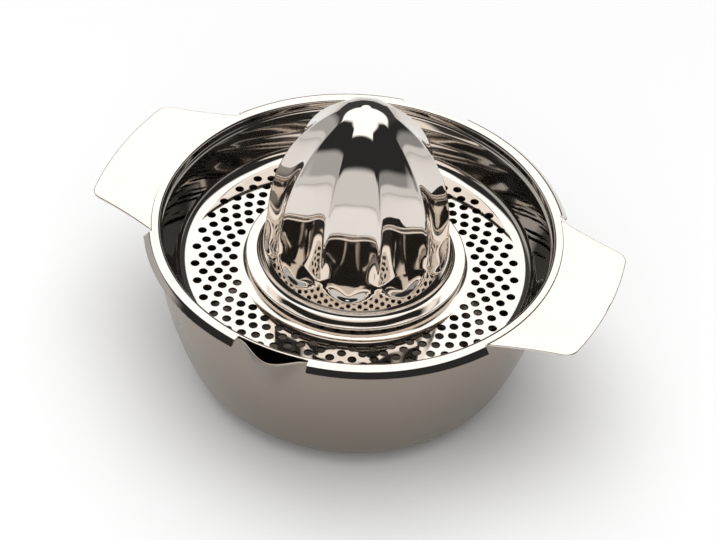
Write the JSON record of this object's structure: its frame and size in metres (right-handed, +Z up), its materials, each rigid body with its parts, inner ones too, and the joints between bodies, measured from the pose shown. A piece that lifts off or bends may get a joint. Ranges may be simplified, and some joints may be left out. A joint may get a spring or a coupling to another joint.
{
  "type": "citrus juicer",
  "caption": "Hand citrus juicer: a fluted steel reamer on a perforated strainer with two flat handles, hung in a round pouring bowl.",
  "frame": {"origin": "centre of the bowl's flat base, on the table", "axes": "+Z up along the bowl's axis, X along the two handles, -Y towards the pouring spout"},
  "size_m": [0.1792, 0.1429, 0.1137],
  "materials": {
    "satin_steel": "satin",
    "polished_steel": "polished"
  },
  "bodies": {
    "bowl": {"bowl": "satin_steel"},
    "insert": {"strainer": "polished_steel", "reamer": "polished_steel", "handle_left": "polished_steel", "handle_right": "polished_steel"}
  },
  "joints": [
    {"name": "insert_lift", "type": "slide", "parent": "bowl", "child": "insert", "axis": [0, 0, 1], "range_m": [0, 0.07]}
  ]
}
